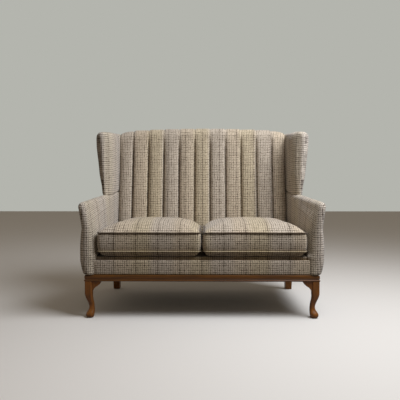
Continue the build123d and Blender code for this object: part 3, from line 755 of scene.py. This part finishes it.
@dataclass
class Wing(SideCover):
    """Stuffed wing with a thick front roll, standing on the arm."""

    voxel_mm: float = 6.0
    cap_mm: float = 5.0
    fill: float = 0.9
    smoothing: int = 8
    crest_slope: float = 0.0
    top_turn: float = 0.6
    crown_mm: float = 6.0
    edge_fall_mm: float = 22.0
    crown_run_mm: float = 110.0
    ease_mm: float = 12.0
    ease_run_mm: float = 120.0
    lean_degrees: float = 8.0
    lean_share: float = 0.5

    def shape(self, places: Places, normals: Places) -> Places:
        """Ease the inner face outwards towards the front, so that it runs into the roll in one curve.

        Args:
            places: vertices of the skin.
            normals: their normals.
        Returns:
            New places.
        """
        run = np.clip(1 - (places[:, 1] - places[:, 1].min()) / (self.ease_run_mm * MM), 0, 1)
        ease = self.ease_mm * MM * run ** 2 * np.clip(0.5 - normals[:, 0], 0, 1)
        return self.crown_front(places + np.outer(ease, (1, 0, 0)))

    def sewn(self, places: Places, normals: Places) -> np.ndarray:
        """Hold the foot of the wing and its rear part beside the leaning back.

        Args:
            places: vertices of the skin.
            normals: their normals.
        Returns:
            True where the cover is held.
        """
        slope = self.lean_share * math.tan(math.radians(self.lean_degrees))
        rise = places[:, 2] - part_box("right_wing_pad")[0][2]
        beside_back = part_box("inner_back_pad")[0][1] + slope * rise
        return (normals[:, 2] < -0.5) | (places[:, 1] > beside_back)


@dataclass
class ChannelledBack(Cover):
    """Inner back sewn into upright channels that roll over its top."""

    voxel_mm: float = 5.0
    finer: int = 0
    smoothing: int = 2
    lean_degrees: float = 8.0
    pitch_mm: float = 104.8
    seam_count: int = 10
    roll_radius_mm: float = 65.0
    depth_mm: float = 28.0
    roll_depth_mm: float = 6.0
    fullness: float = 0.6
    crease_mm: float = 14.0
    crease_width_mm: float = 5.5
    crease_fade: float = 0.75
    top_fade_mm: float = 160.0
    edge_sharpness: float = 3.0
    notch_fill_mm: float = 3.0
    notch_share: float = 0.2
    corner_fall_mm: float = 12.0
    corner_share: float = 0.8

    def local(self, places: Places) -> tuple[np.ndarray, np.ndarray]:
        """Depth behind the inner face and height above the seat, in the leaning frame of the back.

        Args:
            places: points of the back.
        Returns:
            Depths and heights.
        """
        lean = math.radians(self.lean_degrees)
        front, foot = self.foot()
        y = places[:, 1] - front
        z = places[:, 2] - foot
        return y * math.cos(lean) - z * math.sin(lean), y * math.sin(lean) + z * math.cos(lean)

    def foot(self) -> tuple[float, float]:
        """Place and height at which the inner face of the back meets the seat."""
        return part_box("inner_back_pad")[0][1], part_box("seat_platform")[1][2]

    def seams(self) -> np.ndarray:
        """Places of the seams across the back."""
        return (np.arange(self.seam_count) - (self.seam_count - 1) / 2) * self.pitch_mm * MM

    def shape(self, places: Places, normals: Places) -> Places:
        """Fill the channels out between their seams and pull the seams in.

        Args:
            places: vertices of the skin.
            normals: their normals.
        Returns:
            New places.
        """
        depth, height = self.local(places)
        gaps = np.abs(places[:, :1] - self.seams()[None, :])
        nearest = gaps.min(axis=1)
        share = 1 - np.clip(2 * nearest / (self.pitch_mm * MM), 0, 1)
        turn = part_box("inner_back_pad")[1][2] - self.foot()[1] - self.roll_radius_mm * MM
        over = np.clip((height - turn) / (self.top_fade_mm * MM) + 1, 0, 1)
        channel = (self.depth_mm + (self.roll_depth_mm - self.depth_mm) * over) * MM
        swell = channel * self.fullness * (share ** 2 - share ** 5)
        near_seam = np.exp(-(nearest / (self.crease_width_mm * MM)) ** 2)
        crease = self.crease_mm * MM * near_seam * (1 - self.crease_fade * over ** 3)
        near_notch = np.exp(-(nearest / (self.notch_share * self.pitch_mm * MM)) ** 2)
        swell += self.notch_fill_mm * MM * over ** 2 * near_notch
        shown = np.clip(self.edge_sharpness * (2 - depth / (self.roll_radius_mm * MM)), 0, 1)
        reach = np.abs(places[:, 0]) / np.abs(places[:, 0]).max()
        corner = np.clip((reach - self.corner_share) / (1 - self.corner_share), 0, 1)
        fall = self.corner_fall_mm * MM * over * corner ** 2
        return places - np.outer(fall, (0, 0, 1)) + normals * ((swell - crease) * shown)[:, None]

    def chart(self, places: Places, facing: Places) -> Places:
        """Run the cloth up the face and over the roll.

        Args:
            places: corners of the faces.
            facing: normals of the faces; not used.
        Returns:
            Places on the cloth, in metres.
        """
        depth, height = self.local(places)
        radius = self.roll_radius_mm * MM
        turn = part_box("inner_back_pad")[1][2] - self.foot()[1] - radius
        angle = np.arctan2(height - turn, radius - depth)
        rolled = turn + radius * np.clip(angle, 0, math.pi)
        return np.column_stack((places[:, 0], np.where(height < turn, height, rolled)))


@dataclass
class SeatCushion(Cover):
    """Loose box cushion with a full crown, a boxed border and two piped seams."""

    voxel_mm: float = 7.0
    boxing_mm: float = 97.0
    belly_mm: float = 32.0
    crown_power: float = 1.7
    belly_power: float = 5.0
    seam_hold_mm: float = 8.0
    cap_mm: float = 8.0
    fill: float = 0.75
    uneven_mm: float = 2.2
    uneven_length_mm: float = 190.0
    placket_mm: float = 5.0
    placket_edge_mm: float = 12.0

    def seams(self) -> tuple[float, float]:
        """Heights of the lower and the upper piped seam."""
        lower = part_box("right_cushion_cover")[0][2] + self.belly_mm * MM
        return lower, lower + self.boxing_mm * MM

    def shape(self, places: Places, normals: Places) -> Places:
        """Fill the crown and the belly out steeply from the seams, and sink a placket for the zip.

        Args:
            places: vertices of the skin.
            normals: their normals.
        Returns:
            New places.
        """
        lower, upper = self.seams()
        bottom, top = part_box("right_cushion_cover")[0][2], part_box("right_cushion_cover")[1][2]
        z = places[:, 2]
        rise = np.clip((z - upper) / (top - upper), 0, 1)
        drop = np.clip((lower - z) / (lower - bottom), 0, 1)
        crown = upper + (top - upper) * (1 - (1 - rise) ** self.crown_power)
        belly = lower - (lower - bottom) * (1 - (1 - drop) ** self.belly_power)
        level = np.where(z > upper, crown, np.where(z < lower, belly, z))
        # the placket is full to half its edge past the tape, and gone one edge further out
        zip_low, zip_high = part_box("right_zip_tape")
        edge = self.placket_edge_mm * MM
        past_ends = np.maximum(zip_low[0] - places[:, 0], places[:, 0] - zip_high[0])
        past_sides = np.maximum(zip_low[2] - z, z - zip_high[2])
        at_zip = np.clip(1.5 - np.maximum(past_ends, past_sides) / edge, 0, 1)
        sunk = self.placket_mm * MM * at_zip * np.clip(2 * normals[:, 1], 0, 1)
        return np.column_stack((places[:, 0], places[:, 1] - sunk, level))

    def sewn(self, places: Places, normals: Places) -> np.ndarray:
        """Hold the seams, and the sides, rear and underside, which have something beside them.

        Args:
            places: vertices of the skin.
            normals: their normals.
        Returns:
            True where the cover is held.
        """
        lower, upper = self.seams()
        hold = self.seam_hold_mm * MM
        z = places[:, 2]
        at_seam = (np.abs(z - lower) < hold) | (np.abs(z - upper) < hold)
        boxing = (z > lower - hold) & (z < upper + hold)
        held = boxing & (normals[:, 1] > -0.6)
        return at_seam | held | (normals[:, 2] < -0.7)


@dataclass
class PlainPad(Cover):
    """A thin pad that follows its frame, such as the front border or the seat platform."""

    voxel_mm: float = 4.0
    smoothing: int = 3
    uneven_mm: float = 0.8
    tucked_mm: float = 0.0
    tuck_bend_mm: float = 9.0

    def shape(self, places: Places, normals: Places) -> Places:
        """Lengthen the pad and bend its ends back behind what is beside it.

        Args:
            places: vertices of the skin.
            normals: their normals; not used.
        Returns:
            New places.
        """
        if not self.tucked_mm:
            return places
        tucked = self.tucked_mm * MM
        half = np.abs(places[:, 0]).max()
        longer = places * [1 + tucked / half, 1, 1]
        past = np.clip((np.abs(longer[:, 0]) - half + tucked) / (2 * tucked), 0, 1)
        return longer + np.outer(self.tuck_bend_mm * MM * past ** 2, (0, 1, 0))


@dataclass
class OuterBack:
    """Cloth panel over the rear of the settee, upright at the seat rail and leaning above it."""

    columns: int = 60
    rows: int = 44
    thickness_mm: float = 4.0
    swell_mm: float = 5.0

    def build(self, cloth: bpy.types.Material) -> bpy.types.Object:
        """Bend a grid over the rear rails and give it its thickness.

        Args:
            cloth: its material.
        Returns:
            The panel.
        """
        low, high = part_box("outer_back")
        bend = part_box("rear_seat_rail")[1]
        bpy.ops.object.select_all(action="DESELECT")
        bpy.ops.mesh.primitive_grid_add(x_subdivisions=self.columns, y_subdivisions=self.rows, size=1)
        panel = bpy.context.active_object
        panel.name = "outer_back_cloth"
        flat = places_of(panel)
        across = flat[:, 0] * 2
        x = across * high[0]
        z = low[2] + (flat[:, 1] + 0.5) * (high[2] - low[2])
        up = np.clip((z - bend[2]) / (high[2] - bend[2]), 0, 1)
        y = bend[1] + up * (high[1] - self.thickness_mm * MM - bend[1])
        swell = self.swell_mm * MM * (1 - across ** 4) * np.sin(math.pi * up)
        move_to(panel, np.column_stack((x, y + swell, z)))
        apply_modifier(panel, "SOLIDIFY", {"thickness": self.thickness_mm * MM, "offset": -1.0})
        map_cloth(panel, box_chart)
        select_only(panel)
        bpy.ops.object.shade_smooth_by_angle(angle=math.radians(40))
        panel.data.materials.append(cloth)
        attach(panel, "settee")
        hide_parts("outer_back")
        return panel


@dataclass
class Piping:
    """Cloth-covered cord sewn into the seams of a seat cushion."""

    slimmer_mm: float = 1.0
    pucker_mm: float = 0.35
    pucker_length_mm: float = 9.0
    corner_pull_mm: float = 5.0
    corner_power: float = 10.0

    def build(self, side: Side, seam: str, cloth: bpy.types.Material) -> bpy.types.Object:
        """Make one cord from its CAD route, slightly puckered by its stitches.

        Args:
            side: side of the settee.
            seam: top or bottom.
            cloth: its material.
        Returns:
            The cord.
        """
        node = side.node(seam + "_piping")
        cord = joined_copy(node + "_cord", (node,))
        places = places_of(cord)
        along = (places[:, 0] + places[:, 1]) * 2 * math.pi / (self.pucker_length_mm * MM)
        swell = (self.pucker_mm * np.sin(along) - self.slimmer_mm) * MM
        middle = (places.min(axis=0) + places.max(axis=0)) / 2
        share = (places - middle) / (places.max(axis=0) - middle)
        corner = np.abs(share[:, 0] * share[:, 1]) ** self.corner_power
        inward = np.sign(share) * [1, 1, 0] * (corner * self.corner_pull_mm * MM)[:, None]
        move_to(cord, places + normals_of(cord) * swell[:, None] - inward)
        map_cloth(cord, box_chart)
        select_only(cord)
        bpy.ops.object.shade_smooth()
        cord.data.materials.append(cloth)
        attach(cord, side.node("cushion"))
        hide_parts(node)
        return cord


@dataclass
class ShowWood:
    """Visible wood: the moulded plinth, and the paler cabriole front legs and raked rear legs."""

    leg_pale: str = "90571a"
    leg_brown: str = "663c10"

    def dress(self) -> None:
        """Give each piece wood whose grain runs along it."""
        legs = [side.node(leg) for side in Side for leg in ("front_leg", "front_ears", "rear_leg")]
        runs = {
            StainedOak(GrainAxis.ALONG_X): ["front_plinth", "rear_plinth"],
            StainedOak(GrainAxis.ALONG_Y): [side.node("plinth") for side in Side],
            StainedOak(GrainAxis.ALONG_Z, self.leg_pale, self.leg_brown): legs,
        }
        for wood, nodes in runs.items():
            paint(nodes, wood.build())


def paint(nodes: Sequence[str], material: bpy.types.Material) -> None:
    """Give CAD nodes that stay in sight their material.

    Args:
        nodes: the nodes.
        material: what they are made of.
    """
    for node in nodes:
        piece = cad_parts[node]
        piece.data.materials.clear()
        piece.data.materials.append(material)
        log.info("%s: %s", node, material.name)


@dataclass
class InnerWorks:
    """Beech frame, springs, webbing, fasteners, zips and glides under the covers."""

    def dress(self) -> None:
        """Give each group of hidden pieces its stock material."""
        beech = ["front_seat_rail", "rear_seat_rail", "centre_seat_rail", "corner_blocks", "back_top_rail",
                 "back_lower_rail", "back_uprights", "frame_dowels"]
        for side in Side:
            beech += [side.node(piece) for piece in
                      ("seat_rail", "back_post", "arm_post", "arm_rail", "tack_rail", "wing_board")]
        tapes = [side.node("zip_tape") for side in Side]
        sliders = [side.node("zip_slider") for side in Side]
        wires = ["serpentine_springs", "tie_wires"]
        fasteners = ["spring_clips", "leg_bolts", "plinth_screws"]
        # nodes, slot, then name, two tones, grain in mm and roughness, and for metal its metallic and relief
        stock = (
            (beech, "beech", "planed_beech", "c9a878", "b48f60", (60, 6, 6), 0.6),
            (wires, "spring_steel", "tempered_wire", "5a5c60", "46474a", (8, 8, 8), 0.4, 1.0, 0.05),
            (fasteners, "zinc_steel", "zinc_plate", "b9bcc0", "9fa3a8", (5, 5, 5), 0.35, 1.0, 0.05),
            (["back_webbing"], "webbing", "elastic_webbing", "4d4841", "2e2b27", (3, 3, 3), 0.9),
            (["dust_cover"], "black_cloth", "lining_cloth", "1d1d1d", "121212", (2, 2, 2), 0.95),
            (tapes, "zip_tape", "woven_tape", "80766a", "6a6156", (2, 2, 2), 0.9),
            (sliders, "zip_metal", "satin_brass", "ab8f55", "8f7745", (3, 3, 3), 0.35, 1.0, 0.05),
            (["foot_glides"], "glide_plastic", "nylon", "4a3320", "3d2a1a", (2, 2, 2), 0.55),
        )
        for nodes, slot, *finish in stock:
            paint(nodes, MottledFinish(*finish).build())


@dataclass
class Studio:
    """Pale floor, soft light and the camera of the photograph."""

    camera_place: tuple[float, float, float] = (0.013, -2.49, 0.641)
    camera_tilt_degrees: float = -0.49
    camera_turn_degrees: float = 0.61
    lens_mm: float = 36.17
    sensor_mm: float = 36.0
    floor_size: float = 30.0
    floor_colour: str = "dedbd5"
    bounce_colour: str = "3f342a"
    backdrop_colour: str = "b4b5ae"
    sky_colour: str = "ffecd6"
    sky_strength: float = 0.215
    key_place: tuple[float, float, float] = (1.2, -0.9, 2.5)
    key_aim: tuple[float, float, float] = (0.0, 0.1, 0.65)
    key_size: float = 1.6
    key_colour: str = "f5f8ff"
    key_watts: float = 84.0

    def two_faced(self, tree: bpy.types.NodeTree, thrown: Rgba, shown: Rgba) -> Link:
        """One colour for the light that a surface throws, and one where it is seen or mirrored.

        Args:
            tree: node tree of the surface.
            thrown: colour of its light.
            shown: colour that it shows.
        Returns:
            The colour.
        """
        rays = add_node(tree, "LightPath").outputs
        seen = rays["Is Camera Ray"]
        for ray in ("Is Glossy Ray", "Is Transmission Ray"):
            seen = add_node(tree, "Math", {"operation": "MAXIMUM"}, {0: seen, 1: rays[ray]}).outputs[0]
        return add_node(tree, "Mix", {"data_type": "RGBA"}, {0: seen, 6: thrown, 7: shown}).outputs[2]

    def floor(self) -> None:
        """Lay a plain floor that looks pale but throws little light back up at the settee."""
        bpy.ops.object.select_all(action="DESELECT")
        bpy.ops.mesh.primitive_plane_add(size=self.floor_size)
        floor = bpy.context.active_object
        floor.name = "studio_floor"
        material, tree, shader = new_material("studio_floor")
        colour = self.two_faced(tree, linear(self.bounce_colour), linear(self.floor_colour))
        tree.links.new(colour, shader.inputs["Base Color"])
        shader.inputs["Roughness"].default_value = 0.95
        floor.data.materials.append(material)

    def light(self) -> None:
        """Set an even warm sky behind a plain backdrop, and one large lamp high at the front right."""
        world = bpy.data.worlds.new("studio")
        world.use_nodes = True
        tree = world.node_tree
        sky = tuple(value * self.sky_strength for value in linear(self.sky_colour)[:3]) + (1.0,)
        colour = self.two_faced(tree, sky, linear(self.backdrop_colour))
        tree.links.new(colour, tree.nodes["Background"].inputs["Color"])
        bpy.context.scene.world = world
        aim = Vector(self.key_aim) - Vector(self.key_place)
        bpy.ops.object.light_add(type="AREA", location=self.key_place,
                                 rotation=aim.to_track_quat("-Z", "Y").to_euler())
        lamp = bpy.context.active_object
        lamp.name = "key_lamp"
        lamp.data.color = linear(self.key_colour)[:3]
        lamp.data.energy = self.key_watts
        lamp.data.size = self.key_size

    def camera(self) -> None:
        """Look almost straight at the front from the photograph's place."""
        tilt = math.radians(90 + self.camera_tilt_degrees)
        turn = math.radians(self.camera_turn_degrees)
        bpy.ops.object.camera_add(location=self.camera_place, rotation=(tilt, 0, turn))
        camera = bpy.context.active_object
        camera.name = "front_camera"
        camera.data.lens = self.lens_mm
        camera.data.sensor_width = self.sensor_mm
        bpy.context.scene.camera = camera
        bpy.context.scene.view_settings.view_transform = "Standard"

    def build(self) -> None:
        """Make the whole studio."""
        self.floor()
        self.light()
        self.camera()


@dataclass
class Settee:
    """All the soft and hard pieces of the settee."""

    tweed: bpy.types.Material
    side_tweed: bpy.types.Material
    dark_cord: bpy.types.Material
    pale_cord: bpy.types.Material
    platform_cloth: bpy.types.Material

    def pair_of(self, cover: Cover, cloth: bpy.types.Material, pieces: Sequence[str],
                bodies: Callable[[Side], str], seed: int) -> None:
        """Build a right-hand cover, mirror it and dress both.

        Args:
            cover: the right-hand cover.
            cloth: its material.
            pieces: CAD pieces that it stands for, without their side.
            bodies: gives the body that a side's cover moves with.
            seed: sets the unevenness of the two covers.
        """
        right = cover.build()
        left = mirrored(right, cover.name.replace("right", "left"))
        for side, piece in ((Side.RIGHT, right), (Side.LEFT, left)):
            nodes = [side.node(name) for name in pieces]
            cover.dress(piece, cloth, nodes, bodies(side), seed + side.value)
            log.info("%s: dressed", piece.name)

    def covers(self) -> None:
        """Make the arms, wings, back, cushions, border and platform."""
        right = Side.RIGHT
        arm = Arm("right_arm_cover", (right.node("arm_pad"), right.node("outer_arm")),
                  tuple(right.node(piece) for piece in ("arm_post", "arm_rail", "tack_rail", "seat_rail")))
        self.pair_of(arm, self.side_tweed, ("arm_pad", "outer_arm"), lambda side: "settee", 11)
        wing = Wing("right_wing_cover", (right.node("wing_pad"),), (right.node("wing_board"),))
        self.pair_of(wing, self.side_tweed, ("wing_pad",), lambda side: "settee", 21)
        stuffing = ("cushion_cover", "cushion_core")
        cushion = SeatCushion("right_cushion_cloth", tuple(right.node(piece) for piece in stuffing))
        self.pair_of(cushion, self.tweed, stuffing, lambda side: side.node("cushion"), 31)
        back = ChannelledBack("channelled_back", ("inner_back_pad",))
        back.dress(back.build(), self.tweed, back.stands_for, "settee", 41)
        border = PlainPad("front_border_cover", ("front_border",), tucked_mm=20.0)
        border.dress(border.build(), self.tweed, border.stands_for, "settee", 51)
        platform = PlainPad("platform_cover", ("seat_platform",), slot="platform_cloth", voxel_mm=6.0,
                            finer=0)
        platform.dress(platform.build(), self.platform_cloth, platform.stands_for, "settee", 61)

    def build(self) -> None:
        """Make and dress every piece."""
        self.covers()
        OuterBack().build(self.tweed)
        for side in Side:
            # the top cords get the cloth darkened with painted shade, the bottom cords the pale cloth
            for seam, cloth in (("top", self.dark_cord), ("bottom", self.pale_cord)):
                cord = Piping().build(side, seam, cloth)
                log.info("%s: dressed", cord.name)
        ShowWood().dress()
        InnerWorks().dress()


def main() -> None:
    """Build the settee and its studio."""
    tweed = TweedCheck().build()
    side_tweed = TweedCheck(name="side_tweed", repeat_mm=11.9, weakest_thread=0.6, light_yarn="e6dccb",
                            ochre_band="cfc0a2", lilac_band="c8bcb0", rose_band="d0bfa9").build()
    # cloth of the top cords, darkened to paint the shade that lies along the top seam under the cushion's crown
    dark_cord = TweedCheck(name="dark_piping", light_yarn="6b5a45", ochre_band="5c4c38", lilac_band="54463a",
                           rose_band="5c4a3a", dark_yarn="2a1d10").build()
    pale_cord = TweedCheck(name="pale_piping", light_yarn="bdae8d", ochre_band="ab9b78", lilac_band="a89a82",
                           rose_band="ad9c80", dark_yarn="66563d").build()
    platform_cloth = TweedCheck(name="platform_tweed", light_yarn="a3967f").build()
    Settee(tweed, side_tweed, dark_cord, pale_cord, platform_cloth).build()
    Studio().build()


if __name__ == "__main__":
    main()
